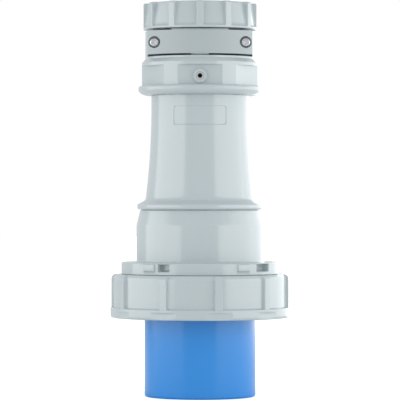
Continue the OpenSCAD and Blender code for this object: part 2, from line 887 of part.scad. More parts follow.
// Clamp saddle: the front part of the neck, which two screws pull onto the cable
module clamp_saddle() {
    face_y = -neck_r + saddle_face_r;
    color(grey)
        difference() {
            union() {
                intersection() {
                    translate([0, face_y, 0])
                        bore(saddle_face_r, saddle_z0, saddle_z1);
                    translate([-saddle_w / 2, -2 * neck_r, saddle_z0 - over])
                        cube([saddle_w, 2 * neck_r - saddle_back, saddle_h + 2 * over]);
                }
                saddle_tongue(tongue_w, saddle_z1 - over, saddle_z1 + tongue_h);
                saddle_tongue(low_tongue_w, saddle_z0 - tongue_h, saddle_z0 + over);
            }
            difference() {
                bore(clamp_way_r, slot_z0, slot_z1);
                grips();
            }
            for (x = [-1, 1] * clamp_screw_span / 2) {
                cross_pin(x, clamp_z, clamp_screw_d / 2 + turn_gap, -neck_r, 0);
                cross_pin(x, clamp_z, head_pocket_d / 2, -neck_r, head_seat_y);
            }
        }
}

// Machine screw of the clamp, with a cross recess
module clamp_screw(side) {
    x = side * clamp_screw_span / 2;
    head_y = head_seat_y - clamp_head_t;
    recess_len = 0.66 * clamp_head_d;
    recess_depth = 1.5;
    color(steel)
        difference() {
            union() {
                cross_pin(x, clamp_z, clamp_head_d / 2, head_y, head_seat_y);
                cross_pin(x, clamp_z, clamp_screw_d / 2, head_seat_y - over, head_seat_y + clamp_screw_len);
            }
            translate([x - recess_w / 2, head_y - over, clamp_z - recess_len / 2])
                cube([recess_w, over + recess_depth, recess_len]);
            translate([x - recess_len / 2, head_y - over, clamp_z - recess_w / 2])
                cube([recess_len, over + recess_depth, recess_w]);
        }
}

// Hexagon nut in its pocket at the back of the neck
module clamp_nut(side) {
    x = side * clamp_screw_span / 2;
    color(nickel)
        difference() {
            cross_pin(x, clamp_z, clamp_nut_w / 2 / cos(30), clamp_nut_y, clamp_nut_y + clamp_nut_t, 6);
            cross_pin(x, clamp_z, clamp_screw_d / 2 + screw_gap, clamp_nut_y - over, clamp_nut_y + clamp_nut_t + over);
        }
}

module clamp_screw_left() {
    clamp_screw(-1);
}

module clamp_screw_right() {
    clamp_screw(1);
}

module clamp_nut_left() {
    clamp_nut(-1);
}

module clamp_nut_right() {
    clamp_nut(1);
}

// Rubber seal that the nut squeezes onto the cable
module cable_seal() {
    seal_r = seal_pocket_r - fit_gap;
    color(black)
        rotate_extrude()
            polygon([
                [seal_bore_d / 2, seat_z],
                [seal_r, seat_z],
                [seal_r, seal_z1 - 2],
                [seal_r - 2, seal_z1],
                [seal_bore_d / 2, seal_z1]
            ]);
}

// Washer that lets the nut turn on the seal
module thrust_washer() {
    color(steel)
        tube(seal_pocket_r - washer_gap, nut_hole_r - washer_lip, washer_z0, washer_z1);
}

// Gland nut with tapered flutes between its ribs
module gland_nut() {
    top_round = 1.2;
    rib_arc = 2 * asin(nut_rib_w / 2 / nut_r);
    rim_z1 = nut_z0 + nut_rim_h;
    low_r = nut_r - flute_low_depth;
    top_r = nut_r - flute_top_depth;
    nut_in_r = nut_spigot_r + seat_gap;
    color(grey)
        difference() {
            union() {
                rotate_extrude()
                    polygon(concat(
                        [
                            [nut_hole_r, nut_z0],
                            [nut_r - 0.8, nut_z0],
                            [nut_r, nut_z0 + 0.8],
                            [nut_r, rim_z1 - 0.6],
                            [low_r, rim_z1]
                        ],
                        arc([top_r - top_round, nut_z1 - top_round], top_round, 0, 90, 4),
                        [[nut_hole_r + 1, nut_z1], [nut_hole_r, nut_z1 - 1]]
                    ));
                intersection() {
                    rotate_extrude()
                        polygon(concat(
                            [[nut_in_r + 1, nut_z0 + 0.8], [nut_r, nut_z0 + 0.8]],
                            arc([nut_r - top_round, nut_z1 - top_round], top_round, 0, 90, 4),
                            [[nut_in_r + 1, nut_z1]]
                        ));
                    union() {
                        for (i = [0 : nut_rib_count - 1])
                            wedge(i * 360 / nut_rib_count, rib_arc, nut_r + 1, nut_z0, nut_z1 + over);
                    }
                }
            }
            bore(nut_in_r, nut_z0 - over, nut_z1 - nut_top_t);
        }
}

pin_sleeve();
contact_carrier();
pin_line();
pin_neutral();
pin_earth();
pin_pilot();
terminal_screw_line();
terminal_screw_neutral();
terminal_screw_earth();
terminal_screw_pilot();
carrier_screw_left();
carrier_screw_right();
face_gasket();
bayonet_ring();
ring_retainer();
front_housing();
handle_oring();
handle();
gland_oring();
gland_body();
lock_screw();
clamp_saddle();
clamp_screw_left();
clamp_screw_right();
clamp_nut_left();
clamp_nut_right();
cable_seal();
thrust_washer();
gland_nut();
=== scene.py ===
# %% [markdown]
# # Industrial pin and sleeve plug
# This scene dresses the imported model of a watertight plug: a blue contact sleeve, a bayonet ring, a
# flared grey handle and a cable gland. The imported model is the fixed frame. Every piece in it stands
# in its place, in metres, so we measure it here and never type a position twice.

# %% Load the frame
import json

import bmesh
import bpy
import numpy as np
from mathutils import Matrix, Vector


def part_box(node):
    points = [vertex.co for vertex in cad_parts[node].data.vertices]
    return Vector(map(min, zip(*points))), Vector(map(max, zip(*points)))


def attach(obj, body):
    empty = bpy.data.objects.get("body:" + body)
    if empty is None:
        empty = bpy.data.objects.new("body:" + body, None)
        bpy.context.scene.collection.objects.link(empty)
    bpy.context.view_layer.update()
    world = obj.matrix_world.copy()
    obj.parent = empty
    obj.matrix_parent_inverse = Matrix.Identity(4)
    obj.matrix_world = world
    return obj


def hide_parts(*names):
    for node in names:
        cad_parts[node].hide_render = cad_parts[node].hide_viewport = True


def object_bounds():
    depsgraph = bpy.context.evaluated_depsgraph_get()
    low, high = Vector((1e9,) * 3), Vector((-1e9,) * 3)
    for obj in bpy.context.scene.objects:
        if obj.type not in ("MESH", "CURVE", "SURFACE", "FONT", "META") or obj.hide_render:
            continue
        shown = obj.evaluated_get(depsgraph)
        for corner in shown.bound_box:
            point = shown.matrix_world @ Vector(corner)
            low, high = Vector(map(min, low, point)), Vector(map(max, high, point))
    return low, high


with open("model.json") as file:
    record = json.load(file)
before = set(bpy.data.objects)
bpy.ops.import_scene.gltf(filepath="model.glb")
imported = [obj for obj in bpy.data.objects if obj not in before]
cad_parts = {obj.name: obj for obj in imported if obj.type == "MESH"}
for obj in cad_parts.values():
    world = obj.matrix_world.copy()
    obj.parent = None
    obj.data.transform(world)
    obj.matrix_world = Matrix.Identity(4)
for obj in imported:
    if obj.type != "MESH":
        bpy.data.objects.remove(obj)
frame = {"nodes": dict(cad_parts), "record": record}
nodes = frame["nodes"]
scene = bpy.context.scene
cad_low, cad_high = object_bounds()
print("nodes:", len(nodes), "size in mm:", [round(1000 * (b - a), 1) for a, b in zip(cad_low, cad_high)])

# %% [markdown]
# A product picture of a tall plug is usually taken from far away with a long lens, because that keeps
# the round rims almost straight. The camera stands level with the plug's middle and looks at its
# front, which is the side of the clamp screws.

# %% Camera
eye_height = (cad_low[2] + cad_high[2]) / 2
eye_distance = 1.824

camera_data = bpy.data.cameras.new("camera")
camera_data.sensor_width = 36
camera_data.lens = 256.5
camera = bpy.data.objects.new("camera", camera_data)
camera.location = (0, -eye_distance, eye_height)
camera.rotation_euler = (np.pi / 2, 0, 0)
scene.collection.objects.link(camera)
scene.camera = camera
scene.view_settings.view_transform = "Standard"
print("camera at", [round(v, 3) for v in camera.location])

# %% [markdown]
# Satin plastic shows its lamps as long bands with fairly sharp edges. A wall that faces a turn sends
# our sight line on to twice that turn, so a lamp from -34 to -114 degrees gives a band on the walls
# from -17 to -57 degrees. Two lamps side by side do the same for the whole right half.

# %% Softboxes
left_watts = 4.4
right_watts = 4.3
back_watts = 3.8


def softbox(name, turn, width, watts, distance=0.9, height=0.7):
    """Rectangular lamp that faces the plug's axis from a turn, measured from the front towards +X."""
    lamp = bpy.data.lights.new(name, "AREA")
    lamp.shape = "RECTANGLE"
    lamp.size = width
    lamp.size_y = height
    lamp.energy = watts
    angle = np.radians(turn)
    holder = bpy.data.objects.new(name, lamp)
    holder.location = (distance * np.sin(angle), -distance * np.cos(angle), eye_height)
    holder.rotation_euler = (np.pi / 2, 0, angle)
    scene.collection.objects.link(holder)


softbox("left_softbox", -74, 1.5, left_watts)
softbox("right_softbox", 70, 1.36, right_watts)
softbox("right_back_softbox", 140, 1.26, back_watts)
print("watts:", left_watts, right_watts, back_watts)

# %% [markdown]
# Shaders are easier to read as formulas than as boxes and wires. The small class below stands for one
# output of a node, and its plus, minus and times signs add the Math node that does the sum. The graph
# has a single method that adds any node, sets it up and wires its inputs.

# %% Shader tools
class Socket:
    """An output of a shader node. Arithmetic on it adds the Math node that works the result out."""

    def __init__(self, graph, source):
        self.graph = graph
        self.source = source

    def __add__(self, other):
        return self.graph.maths("ADD", self, other)

    def __sub__(self, other):
        return self.graph.maths("SUBTRACT", self, other)

    def __rsub__(self, other):
        return self.graph.maths("SUBTRACT", other, self)

    def __mul__(self, other):
        return self.graph.maths("MULTIPLY", self, other)

    def __truediv__(self, other):
        return self.graph.maths("DIVIDE", self, other)

    def __rtruediv__(self, other):
        return self.graph.maths("DIVIDE", other, self)

    def __pow__(self, other):
        return self.graph.maths("POWER", self, other)

    __radd__ = __add__
    __rmul__ = __mul__


class Graph:
    """A node tree with one method that adds a node, sets it up and wires its inputs."""

    def __init__(self, tree):
        self.tree = tree
        tree.nodes.clear()

    def node(self, kind, settings=None, inputs=None, output=0):
        """Adds a node. Its settings are named, and an input is a number, a colour or a Socket."""
        node = self.tree.nodes.new("ShaderNode" + kind)
        for key, value in (settings or {}).items():
            setattr(node, key, value)
        for key, value in (inputs or {}).items():
            if isinstance(value, Socket):
                self.tree.links.new(value.source, node.inputs[key])
            else:
                node.inputs[key].default_value = value
        return Socket(self, node.outputs[output]) if node.outputs else node

    def maths(self, operation, a, b):
        """The result of one sum."""
        return self.node("Math", {"operation": operation}, {0: a, 1: b})

    def noise(self, place, scale, detail=2):
        """Soft noise about 0.5, with scale lumps in a metre."""
        return self.node("TexNoise", inputs={"Vector": place, "Scale": scale, "Detail": detail})

    def blend(self, share, a, b):
        """Colour that goes from a to b as share goes from 0 to 1."""
        return self.node("Mix", {"data_type": "RGBA"}, {0: share, 6: (*a, 1), 7: (*b, 1)}, output=2)


# %% [markdown]
# The studio is a white room. The world gives an even fill, and only the camera sees it as pure white.
# The floor is a pale matt sheet. For the camera alone it also glows, so it joins the background with
# no line. With a fill this strong the floor comes out pure white, and the plug's shadow on it is lost.

# %% Studio
fill_strength = 0.76

world = bpy.data.worlds.new("studio")
scene.world = world
world.use_nodes = True
graph = Graph(world.node_tree)
seen = graph.node("LightPath", output="Is Camera Ray")
fill = graph.node("Background", inputs={"Color": (0.965, 0.985, 1, 1), "Strength": fill_strength})
white = graph.node("Background", inputs={"Color": (1, 1, 1, 1), "Strength": 1})
graph.node("OutputWorld", inputs={"Surface": graph.node("MixShader", inputs={0: seen, 1: fill, 2: white})})

floor_material = bpy.data.materials.new("floor")
floor_material.use_nodes = True
graph = Graph(floor_material.node_tree)
seen = graph.node("LightPath", output="Is Camera Ray")
place = graph.node("TexCoord", output="Object")
speckle = graph.blend(graph.noise(place, 40), (0.88, 0.88, 0.88), (0.92, 0.92, 0.92))
sheet = graph.node("BsdfDiffuse", inputs={"Color": speckle})
glow = graph.node("Emission", inputs={"Color": (1, 1, 1, 1), "Strength": 0.6})
bright = graph.node("AddShader", inputs={0: sheet, 1: glow})
surface = graph.node("MixShader", inputs={0: seen, 1: sheet, 2: bright})
graph.node("OutputMaterial", inputs={"Surface": surface})

floor_mesh = bpy.data.meshes.new("floor")
floor_mesh.from_pydata([(-4, -4, 0), (4, -4, 0), (4, 8, 0), (-4, 8, 0)], [], [(0, 1, 2, 3)])
floor_mesh.materials.append(floor_material)
floor = bpy.data.objects.new("floor", floor_mesh)
scene.collection.objects.link(floor)
print("fill:", fill_strength)

# %% [markdown]
# ## Finishes
# The housing is injection moulded polyamide. Its steel mould is eroded with sparks, which leaves a
# very fine grain, so the plastic is satin and not glossy. Slow clouds and long flow marks change its
# tone by a few hundredths, as the melt did when it ran along the wall.

# %% Moulded plastics
housing_colour = (0.49, 0.555, 0.572)
clamp_colour = (0.43, 0.485, 0.50)
sleeve_colour = (0.012, 0.265, 0.74)


def scaled(colour, factor):
    """The colour, lighter or darker by a factor."""
    return tuple(min(1, factor * part) for part in colour)


def material(name, paint):
    """New material. paint gets the graph and the place in metres, and returns the shader's inputs."""
    made = bpy.data.materials.new(name)
    made.use_nodes = True
    graph = Graph(made.node_tree)
    place = graph.node("TexCoord", output="Object")
    shader = graph.node("BsdfPrincipled", inputs=paint(graph, place))
    graph.node("OutputMaterial", inputs={"Surface": shader})
    return made


def moulded(colour, roughness, grain_depth=6e-6, gloss=0.9):
    """Paint for moulded plastic: spark grain as bump, with clouds and flow marks in its tone."""
    def paint(graph, place):
        along = graph.node("VectorMath", {"operation": "MULTIPLY"}, {0: place, 1: (1, 1, 0.12)})
        grain = graph.noise(place, 2400, 3)
        cloud = graph.noise(place, 28)
        flow = graph.noise(along, 110)
        bump = graph.node("Bump", inputs={"Strength": 0.4, "Distance": grain_depth, "Height": grain})
        return {
            "Base Color": graph.blend(cloud * 0.6 + flow * 0.4, scaled(colour, 0.965), scaled(colour, 1.035)),
            "Roughness": roughness + (grain - 0.5) * 0.08 + (cloud - 0.5) * 0.05,
            "Specular IOR Level": gloss,
            "Normal": bump,
        }
    return paint


finishes = {
    "housing_grey": material("housing_grey", moulded(housing_colour, 0.17)),
    "clamp_grey": material("clamp_grey", moulded(clamp_colour, 0.42, 18e-6, 0.5)),
    "sleeve_blue": material("sleeve_blue", moulded(sleeve_colour, 0.2, gloss=0.7)),
    "carrier_black": material("carrier_black", moulded((0.028, 0.028, 0.03), 0.4, 16e-6, 0.5)),
}
print("plastics:", list(finishes))

# %% [markdown]
# The seals are moulded rubber. Old rubber is dull and a little chalky, because wax blooms on its
# skin. We show the bloom as pale clouds in the colour, and keep the roughness high.

# %% Rubber
def rubber(graph, place):
    """Paint for black rubber: chalky clouds over a dull, finely pitted skin."""
    bloom = graph.noise(place, 160, 4)
    pits = graph.noise(place, 1800, 3)
    return {
        "Base Color": graph.blend(bloom ** 2, (0.014, 0.014, 0.015), (0.055, 0.055, 0.058)),
        "Roughness": 0.55 + bloom * 0.2,
        "Normal": graph.node("Bump", inputs={"Strength": 0.5, "Distance": 30e-6, "Height": pits}),
    }


finishes["seal_rubber"] = material("seal_rubber", rubber)
print("rubber added")

# %% [markdown]
# The contact pins are turned from brass bar on a lathe. The tool leaves fine rings across the pin, so
# the grain depends on the height alone. The screws and washers are steel with a thin coat of zinc,
# whose crystals give patches that are brighter or duller.

# %% Metals
def turned_brass(graph, place):
    """Paint for turned brass: rings across the axis in the bump, and a slight tarnish."""
    height = graph.node("SeparateXYZ", inputs={0: place}, output="Z")
    rings = graph.node("TexNoise", {"noise_dimensions": "1D"}, {"W": height, "Scale": 5200, "Detail": 2})
    tarnish = graph.noise(place, 90, 3)
    return {
        "Base Color": graph.blend(tarnish, (0.86, 0.66, 0.30), (0.72, 0.50, 0.20)),
        "Metallic": 1,
        "Roughness": 0.16 + rings * 0.16 + tarnish * 0.06,
        "Normal": graph.node("Bump", inputs={"Strength": 0.3, "Distance": 6e-6, "Height": rings}),
    }


def zinc_plate(tone):
    """Paint for plated steel of a tone, with crystals that change its colour and its gloss."""
    def paint(graph, place):
        crystals = graph.node("TexVoronoi", inputs={"Vector": place, "Scale": 1500})
        patches = graph.noise(place, 420, 3)
        return {
            "Base Color": graph.blend(patches, scaled(tone, 0.86), scaled(tone, 1.1)),
            "Metallic": 1,
            "Roughness": 0.2 + crystals * 0.12 + patches * 0.1,
            "Normal": graph.node("Bump", inputs={"Strength": 0.25, "Distance": 8e-6, "Height": patches}),
        }
    return paint


finishes["contact_brass"] = material("contact_brass", turned_brass)
finishes["screw_steel"] = material("screw_steel", zinc_plate((0.78, 0.78, 0.80)))
finishes["zinc_steel"] = material("zinc_steel", zinc_plate((0.70, 0.71, 0.73)))



def grub_screw_with_painted_shade(graph, place):
    """Paint for the lock screw: plated steel with painted shade inside its narrow socket, which is
    near-black, duller and less metallic there.
    """
    socket_r, soft_edge = 0.0013, 0.0003
    inputs = zinc_plate((0.55, 0.56, 0.57))(graph, place)
    low, high = np.array(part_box("lock_screw"))
    off_axis = graph.node("VectorMath", {"operation": "SUBTRACT"}, {0: place, 1: tuple((low + high) / 2)})
    across = graph.node("VectorMath", {"operation": "MULTIPLY"}, {0: off_axis, 1: (1, 0, 1)})
    distance = graph.node("VectorMath", {"operation": "LENGTH"}, {0: across}, output="Value")
    reach = {0: distance, 1: socket_r, 2: socket_r + soft_edge}
    # Painted shade: edge is 0 inside the socket's radius and 1 outside it, with a soft border between.
    edge = graph.node("MapRange", {"interpolation_type": "SMOOTHSTEP"}, reach)
    # Painted shade: a near-black colour inside the socket stands in for the shade in the hole.
    painted_shade_tones = {0: edge, 6: (0.02, 0.02, 0.02, 1), 7: inputs["Base Color"]}
    colour = graph.node("Mix", {"data_type": "RGBA"}, painted_shade_tones, output=2)
    return {**inputs, "Base Color": colour, "Metallic": edge * 0.6, "Roughness": 0.8 - edge * 0.45}


for part in frame["record"]["subparts"]:
    slots = nodes[part["node"]].data.materials
    slots.clear()
    slots.append(finishes[part["material_slot"]])
# The lock screw's material paints shade into its socket.
nodes["lock_screw"].data.materials[0] = material("lock_screw", grub_screw_with_painted_shade)
print("finishes:", len(finishes), "on", len(nodes), "nodes")

# %% [markdown]
# ## Mesh tools
# The big pieces of the plug are round, but not plain: ribs, flats, windows and threads change the
# radius as we go around. So we draw half of a cross-section, carry it around the axis, and let a
# formula move each point in or out. Every edge that a mould would leave round is round in the outline.

# %% Mesh tools
MM = 0.001


def ease(x):
    """Smooth step: 0 below x = 0, 1 above x = 1, and x * x * (3 - 2 * x) between them."""
    x = np.clip(x, 0, 1)
    return x * x * (3 - 2 * x)


def inside(distance, half, soft=0.4):
    """1 within half of a middle line and 0 beyond it, with an edge that is soft mm wide."""
    return ease((half + soft / 2 - np.abs(distance)) / soft)


def box_mm(node):
    """Lowest and highest corner of a CAD node, in mm."""
    low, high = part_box(node)
    return np.array(low) / MM, np.array(high) / MM


def rounded(corners, steps=5):
    """Outline through (r, z, radius) corners in mm, as an array of (r, z) points.
    A corner with a radius becomes an arc that touches both of its sides. The arc's centre lies on the
    corner's bisector, radius / sin(half the angle) away. A point just before and just after the arc
    keeps the flat sides flat where the mesh is shaded smooth."""
    outline = []
    for i, (r, z, radius) in enumerate(corners):
        corner = np.array((r, z), float)
        if radius == 0:
            outline.append(corner[None])
            continue
        back = np.array(corners[i - 1][:2]) - corner
        ahead = np.array(corners[(i + 1) % len(corners)][:2]) - corner
        back /= np.linalg.norm(back)
        ahead /= np.linalg.norm(ahead)
        half = np.arccos(back @ ahead) / 2
        reach = radius / np.tan(half)
        centre = corner + (back + ahead) / np.linalg.norm(back + ahead) * radius / np.sin(half)
        sweep = np.pi - 2 * half
        share = np.linspace(0, 1, steps + 1)[:, None]
        spokes = (corner + back * reach - centre) * np.sin((1 - share) * sweep)
        spokes += (corner + ahead * reach - centre) * np.sin(share * sweep)
        before = corner + back * (reach + 0.2 * radius)
        after = corner + ahead * (reach + 0.2 * radius)
        outline.append(np.vstack([before, centre + spokes / np.sin(sweep), after]))
    return np.vstack(outline)


def refined(outline, longest):
    """The outline with points added along its sides, so that no step is longer than the one given."""
    sides = zip(outline, np.roll(outline, -1, axis=0))
    return np.vstack([
        np.linspace(a, b, max(1, int(np.ceil(np.linalg.norm(b - a) / longest))), endpoint=False)
        for a, b in sides
    ])


def offset(turns, first, count):
    """Turn in degrees from the nearest of count evenly spaced features, the first one at first."""
    pitch = 360 / count
    return (turns - first + pitch / 2) % pitch - pitch / 2


def turns_at(centres, offsets, every=3):
    """Sorted turns in degrees: some at offsets on both sides of each centre, and one every few degrees."""
    offsets = np.concatenate([-np.array(offsets, float), offsets])
    close = np.add.outer(np.array(centres, float), offsets).ravel()
    even = np.arange(0, 360, every, dtype=float)
    even = even[np.abs((even[:, None] - close + 180) % 360 - 180).min(axis=1) > 0.3 * every]
    return np.unique(np.round(np.concatenate([close, even]) % 360, 3))


def spin(r, z, turns):
    """Points in mm of outlines carried around the axis: x = r sin(turn), y = -r cos(turn)."""
    angle = np.radians(turns)[:, None]
    return np.stack([r * np.sin(angle), -r * np.cos(angle), z + 0 * angle], axis=-1)


def piece(name, points, slot, body, poles=False):
    """Closed mesh from a grid of points, with a row for each turn and a column for each outline point.
    A face joins two neighbours in one row to the same two in the next row. The rows close around the
    axis. The columns close on themselves, or end in a single point at each pole."""
    first_pole, last_pole = points[0, 0], points[0, -1]
    grid = points[:, 1:-1] if poles else points
    index = np.arange(grid.shape[0] * grid.shape[1]).reshape(grid.shape[:2])
    beside = np.roll(index, -1, axis=0)
    if poles:
        vertices = np.vstack([grid.reshape(-1, 3), first_pole, last_pole])
        here, there = index[:, :-1], beside[:, :-1]
        quads = np.stack([here, there, beside[:, 1:], index[:, 1:]], axis=-1)
        start = np.stack([np.full(len(index), index.size), beside[:, 0], index[:, 0]], axis=-1)
        end = np.stack([index[:, -1], beside[:, -1], np.full(len(index), index.size + 1)], axis=-1)
        caps = start.tolist() + end.tolist()
    else:
        vertices = grid.reshape(-1, 3)
        quads = np.stack([index, beside, np.roll(beside, -1, axis=1), np.roll(index, -1, axis=1)], axis=-1)
        caps = []
    mesh = bpy.data.meshes.new(name)
    mesh.from_pydata((vertices * MM).tolist(), [], quads.reshape(-1, 4).tolist() + caps)
    mesh.shade_smooth()
    mesh.materials.append(finishes[slot])
    made = bpy.data.objects.new(name, mesh)
    scene.collection.objects.link(made)
    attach(made, body)
    solid = bmesh.new()
    solid.from_mesh(mesh)
    volume = solid.calc_volume(signed=True) / MM**3 / 1000
    solid.free()
    print(name, "faces:", len(mesh.polygons), "volume in cm3:", round(volume, 2))
    return made


# %% [markdown]
# ## Bayonet ring
# The ring is what a hand turns to lock the plug. Ten narrow ribs stand between shallow panels, and the
# lip below them is shaved flat under each rib so that a finger finds it. Inside, two ramps climb like
# a coarse thread and pull the plug home. Their rows of points are lifted along the slope.

# %% Bayonet ring
ring_low, ring_high = box_mm("bayonet_ring")
ring_z0, ring_z1, lip_r = ring_low[2], ring_high[2], ring_high[0]
rib_count, first_rib, rib_w = 10, 12, 4.8
rib_r = lip_r - 0.3
panel_depth = 1.9
mouth_r = lip_r - 6.5
web_r = lip_r - 14.5
web_t = 4
flat_half = 8.9
flat_h = 4.6
lip_h = 6.2
ramp_reach, ramp_half_t, ramp_half_arc, ramp_tilt = 4.2, 2, 35, 4
ramp_z = ring_z0 + 7.5

outline = refined(rounded([
    (mouth_r, ring_z0, 0.8),
    (lip_r, ring_z0, 1.6),
    *[(lip_r, ring_z0 + flat_h + step, 0) for step in (-0.15, -0.08, 0, 0.08, 0.15)],
    (lip_r, ring_z0 + lip_h, 0.12),
    *[(rib_r, ring_z0 + lip_h + step, 0) for step in (0.3, 0.45, 0.6, 0.75, 0.9)],
    (rib_r, ring_z1, 3),
    (web_r, ring_z1, 0.4),
    (web_r, ring_z1 - web_t, 0.4),
    (mouth_r, ring_z1 - web_t, 1),
    *[(mouth_r, ramp_z + step, 0) for step in (5.5, 2.5, 2.3, 2.15, 2, 1.85, 1.7, 0)],
    *[(mouth_r, ramp_z - step, 0) for step in (1.7, 1.85, 2, 2.15, 2.3, 2.5, 5.5)],
]), 1.3)
rib_edge = [0, 1.2, 2, 2.16, 2.29, 2.41, 2.54, 2.66, 2.85, 3.6, 5, 6.5]
flat_edge = [7.9, 8.6, 8.8, 8.9, 9, 9.3, 10.5, 12, 14, 16, 18]
rib_turns = first_rib + 36 * np.arange(rib_count)
ramp_ends = turns_at([55, 125, 235, 305], [0, 0.2, 0.4, 0.7], 360)
turns = np.union1d(turns_at(rib_turns, rib_edge + flat_edge, 36), ramp_ends)
r, z = outline.T
turn = turns[:, None]

from_rib = offset(turn, first_rib, rib_count)
between = 1 - inside(np.radians(from_rib) * rib_r, rib_w / 2, 0.5)
above_lip = ease((z - ring_z0 - lip_h - 0.25) / 0.6)
wall_r = rib_r - panel_depth * between * above_lip
outer = (r > mouth_r) & (z > ring_z0 + lip_h + 0.2)
radius = np.where(outer, mouth_r + (r - mouth_r) * (wall_r - mouth_r) / (rib_r - mouth_r), r)
chord_r = lip_r * np.cos(np.radians(flat_half)) / np.cos(np.radians(np.minimum(np.abs(from_rib), flat_half)))
in_flat = (1 - ease((z - ring_z0 - flat_h + 0.1) / 0.2)) * (r > mouth_r + 2)
radius = radius - in_flat * np.maximum(radius - chord_r, 0)

from_ramp = offset(turn, 90, 2)
on_wall = (np.abs(r - mouth_r) < 0.01) & (z < ring_z1 - web_t - 1)
on_ramp = ease((ramp_half_arc + 0.4 - np.abs(from_ramp)) / 0.8) * on_wall
climb = -mouth_r * np.sin(np.radians(np.clip(from_ramp, -40, 40))) * np.tan(np.radians(ramp_tilt))
climb = climb * ease((60 - np.abs(from_ramp)) / 20)
radius = radius - ramp_reach * on_ramp * inside(z - ramp_z, ramp_half_t, 0.6)
height = z + climb * on_wall * ease((5.5 - np.abs(z - ramp_z)) / 3)
ring = piece("moulded_bayonet_ring", spin(radius, height, turns), "housing_grey", "ring")
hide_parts("bayonet_ring")

# %% [markdown]
# ## Front housing
# The front housing holds the sleeve, carries the ring on its spigot and screws into the handle. Its
# flange has five raised blocks that stop the ring's latch, and four windows that the latch drops into.
# Blocks and windows are bumps and dents of the flange's wall, so one formula draws all nine.

# %% Front housing
house_low, house_high = box_mm("front_housing")
spigot_z0, joint_z1 = house_low[2], house_high[2]
flange_z0, flange_h = ring_z1 + 0.1, 7.6
flange_r = 50.3
spigot_r, sleeve_bore_r = 42.7, 35.8
barrel_r, barrel_in_r = 40.6, 37.6
flange_z1 = flange_z0 + flange_h
barrel_z1 = flange_z1 + 23.3
shoulder_z1, shoulder_r = joint_z1 - 20, 38.3
joint_r, joint_in_r = 30.6, 26.6
groove_z0, groove_z1, groove_r = 71.9, 74, 41.3
seat_z = 76.3
block_z, block_half_h, block_half_w, block_out = flange_z0 + 4.56, 2.2, 4.4, 1.3
window_depth = 5

outline = refined(rounded([
    (sleeve_bore_r, spigot_z0, 0.4),
    (spigot_r, spigot_z0, 0.6),
    (spigot_r, groove_z0, 0),
    (groove_r, groove_z0, 0),
    (groove_r, groove_z1, 0),
    (spigot_r, groove_z1, 0),
    (spigot_r, flange_z0, 0.3),
    (flange_r, flange_z0, 0.4),
    *[(flange_r, block_z - block_half_h + step, 0) for step in (-0.3, -0.15, 0, 0.15, 0.3)],
    *[(flange_r, block_z + block_half_h + step, 0) for step in (-0.3, -0.2, -0.1, 0)],
    (flange_r, flange_z1, 0.7),
    (barrel_r, flange_z1, 1.2),
    (barrel_r, barrel_z1, 5),
    (shoulder_r, shoulder_z1 - 0.6, 0.3),
    (shoulder_r - 0.6, shoulder_z1 - 0.6, 0),
    (shoulder_r - 0.6, shoulder_z1, 0.2),
    (joint_r, shoulder_z1, 0.3),
    (joint_r, joint_z1, 0.7),
    (joint_in_r, joint_z1, 0.4),
    (joint_in_r, shoulder_z1 - 2, 1),
    (barrel_in_r, barrel_z1 - 4, 1),
    (barrel_in_r, seat_z, 0.3),
    (sleeve_bore_r, seat_z, 0.2),
]), 2.5)
block_turns = 32.8 + 72 * np.arange(5)
edge = np.array([-0.5, -0.25, -0.1, 0, 0.1, 0.25, 0.5])
turns = np.union1d(turns_at(block_turns, 5.02 + edge, 3), turns_at([-27, 153], 4.45 + edge, 360))
turns = np.union1d(turns, turns_at([52, 232], 7.08 + edge, 360))
r, z = outline.T
turn = turns[:, None]
on_block = inside(flange_r * np.sin(np.radians(offset(turn, 32.8, 5))), block_half_w)
in_window = inside(flange_r * np.sin(np.radians(offset(turn, -27, 2))), 3.9)
in_window = in_window + inside(flange_r * np.sin(np.radians(offset(turn, 52, 2))), 6.2)
level = inside(z - block_z, block_half_h) * (r > flange_r - 0.9)
radius = r + level * (block_out * on_block - window_depth * in_window)
housing = piece("moulded_front_housing", spin(radius, z, turns), "housing_grey", "plug_body")
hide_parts("front_housing")

# %% [markdown]
# ## Handle
# The handle flares out towards its foot bead, which stops a wet hand from slipping. The flare is part
# of a large circle that meets the straight top without a kink. A label would go into the shallow
# recess on the front. It has round corners, and we leave it empty.

# %% Handle
handle_low, handle_high = box_mm("handle")
foot_z, top_z, foot_r = handle_low[2], handle_low[2] + 72.8, handle_high[0]
top_r, low_r = 31.1, 34.8
flare_z0, flare_h = foot_z + 6.2, 59.6
label_z, label_half_w, label_half_h, label_corner, label_depth = foot_z + 59.5, 16.65, 5.9, 1.5, 0.4
spigot_top = handle_high[2]


def flare(z):
    """Radius of the handle at a height: a circle of radius big that is upright where the flare ends."""
    big = (flare_h**2 + (low_r - top_r) ** 2) / (2 * (low_r - top_r))
    below = np.maximum(flare_z0 + flare_h - z, 0)
    return top_r + big - np.sqrt(big**2 - below**2)


edge = np.array([-1.8, -1.4, -1.1, -0.8, -0.5, -0.3, -0.15, -0.08, 0, 0.08, 0.15, 0.3])
flare_z = np.concatenate([
    np.linspace(foot_z + 8, label_z - 8.5, 22),
    label_z - label_half_h - edge[::-1],
    np.linspace(label_z - 3.5, label_z + 3.5, 5),
    label_z + label_half_h + edge,
])
outline = refined(rounded([
    (joint_r + 0.2, foot_z, 0.3),
    (foot_r, foot_z, 1.2),
    (foot_r, foot_z + 3.1, 1.1),
    (low_r + 0.2, foot_z + 5.9, 2.4),
    *[(flare(level), level, 0) for level in flare_z],
    (top_r, top_z, 0.3),
    (28, top_z, 0.2),
    (28, spigot_top, 0.6),
    (23.5, spigot_top, 0.4),
    (23.5, top_z - 6, 0.5),
    (28.2, top_z - 11, 0.5),
    (28.2, foot_z + 24, 0.5),
    (joint_r + 0.2, foot_z + 20.3, 0.3),
]), 4)
side = np.degrees(np.arcsin(label_half_w / top_r))
